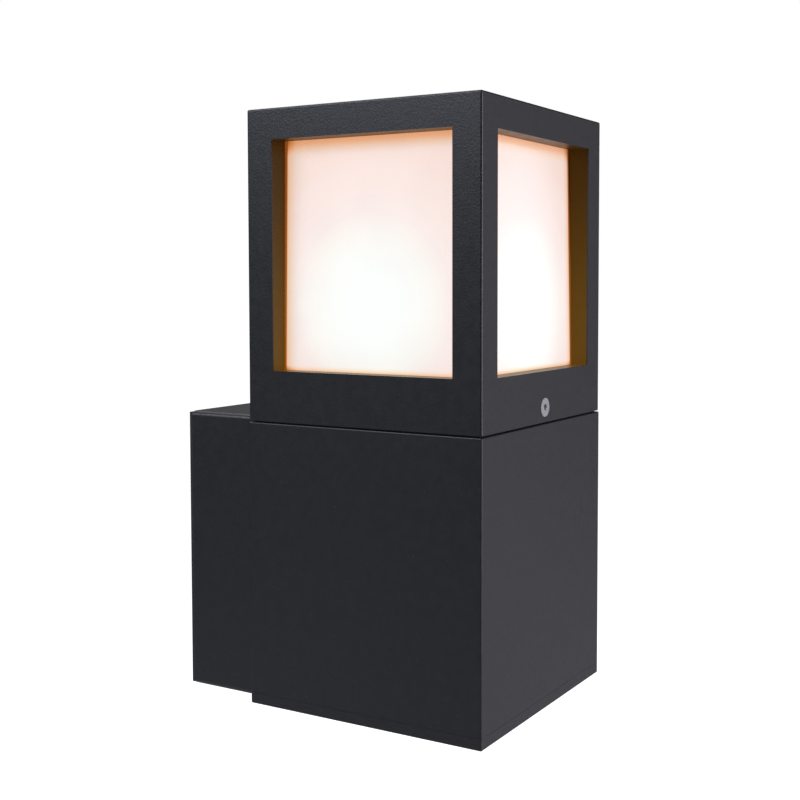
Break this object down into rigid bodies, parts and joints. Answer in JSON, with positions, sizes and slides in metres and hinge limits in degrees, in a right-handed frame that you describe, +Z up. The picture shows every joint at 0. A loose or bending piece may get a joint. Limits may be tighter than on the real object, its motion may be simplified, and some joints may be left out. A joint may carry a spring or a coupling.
{
  "type": "outdoor wall lantern",
  "caption": "Square outdoor wall lantern: lit window head with opal diffuser over a closed lower box, held off the wall by a flat wall box.",
  "frame": {"origin": "centre of the wall face, where the lantern meets the wall", "axes": "+Z up, -Y out of the wall towards the lantern's front, +Y into the wall, X across"},
  "size_m": [0.1104, 0.1498, 0.2477],
  "materials": {
    "powder_coat": "fine textured powder coat, anthracite, matt",
    "opal_diffuser": "opal translucent, satin",
    "zinc_steel": "zinc plated",
    "stainless_screw": "stainless, turned",
    "terminal_screw": "zinc plated",
    "gasket_rubber": "black EPDM",
    "silicone_seal": "pale silicone sponge",
    "terminal_plastic": "natural polyamide",
    "brass": "plain brass",
    "tinned_copper": "tinned",
    "live_insulation": "brown silicone insulation",
    "neutral_insulation": "blue silicone insulation",
    "earth_insulation": "green and yellow insulation",
    "holder_plastic": "black moulded plastic",
    "porcelain": "glazed",
    "lamp_opal": "opal, lit",
    "lamp_plastic": "white moulded plastic",
    "nickel_cap": "nickel plated",
    "cap_glass": "black vitrite",
    "led_board": "white solder mask"
  },
  "bodies": {
    "housing": {"body_box": "powder_coat", "bottom_cover": "powder_coat", "bottom_cover_screws": "stainless_screw", "bottom_gasket": "gasket_rubber", "bracket_fixing_screws": "stainless_screw", "cable_grommet": "gasket_rubber", "diffuser_gasket": "silicone_seal", "earth_lead": "earth_insulation", "earth_ring_terminal": "tinned_copper", "earth_screw": "stainless_screw", "head_tabs": "zinc_steel", "joining_gasket": "gasket_rubber", "joining_screws": "stainless_screw", "lampholder_bracket": "zinc_steel", "lampholder_bracket_screws": "stainless_screw", "lampholder_cap": "holder_plastic", "lampholder_contact": "brass", "lampholder_core": "porcelain", "lampholder_nipple": "zinc_steel", "lampholder_nut": "zinc_steel", "lampholder_shell": "brass", "lampholder_sleeve": "holder_plastic", "lead_grommet": "gasket_rubber", "live_lead": "live_insulation", "neutral_lead": "neutral_insulation", "terminal_block": "terminal_plastic", "terminal_block_screws": "stainless_screw", "terminal_inserts": "brass", "terminal_screws": "terminal_screw", "wall_box": "powder_coat", "wall_bracket": "zinc_steel", "wall_gasket": "gasket_rubber"},
    "head": {"head_frame": "powder_coat", "diffuser": "opal_diffuser", "diffuser_clips": "zinc_steel", "diffuser_clip_screws": "stainless_screw", "clamp_plates": "zinc_steel"},
    "lamp": {"lamp_globe": "lamp_opal", "lamp_housing": "lamp_plastic", "lamp_led_board": "led_board", "lamp_cap": "nickel_cap", "lamp_insulator": "cap_glass", "lamp_contact": "nickel_cap"},
    "front_screw": {"front_head_screw": "stainless_screw"},
    "rear_screw": {"rear_head_screw": "stainless_screw"}
  },
  "joints": [
    {"name": "head_lift", "type": "slide", "parent": "housing", "child": "head", "axis": [0, 0, 1], "range_m": [0, 0.13]},
    {"name": "lamp_unscrew", "type": "slide", "parent": "housing", "child": "lamp", "axis": [0, 0, 1], "range_m": [0, 0.026]},
    {"name": "front_screw_turn", "type": "slide", "parent": "head", "child": "front_screw", "axis": [0, -1, 0], "range_m": [0, 0.01]},
    {"name": "rear_screw_turn", "type": "slide", "parent": "head", "child": "rear_screw", "axis": [0, 1, 0], "range_m": [0, 0.01]}
  ]
}
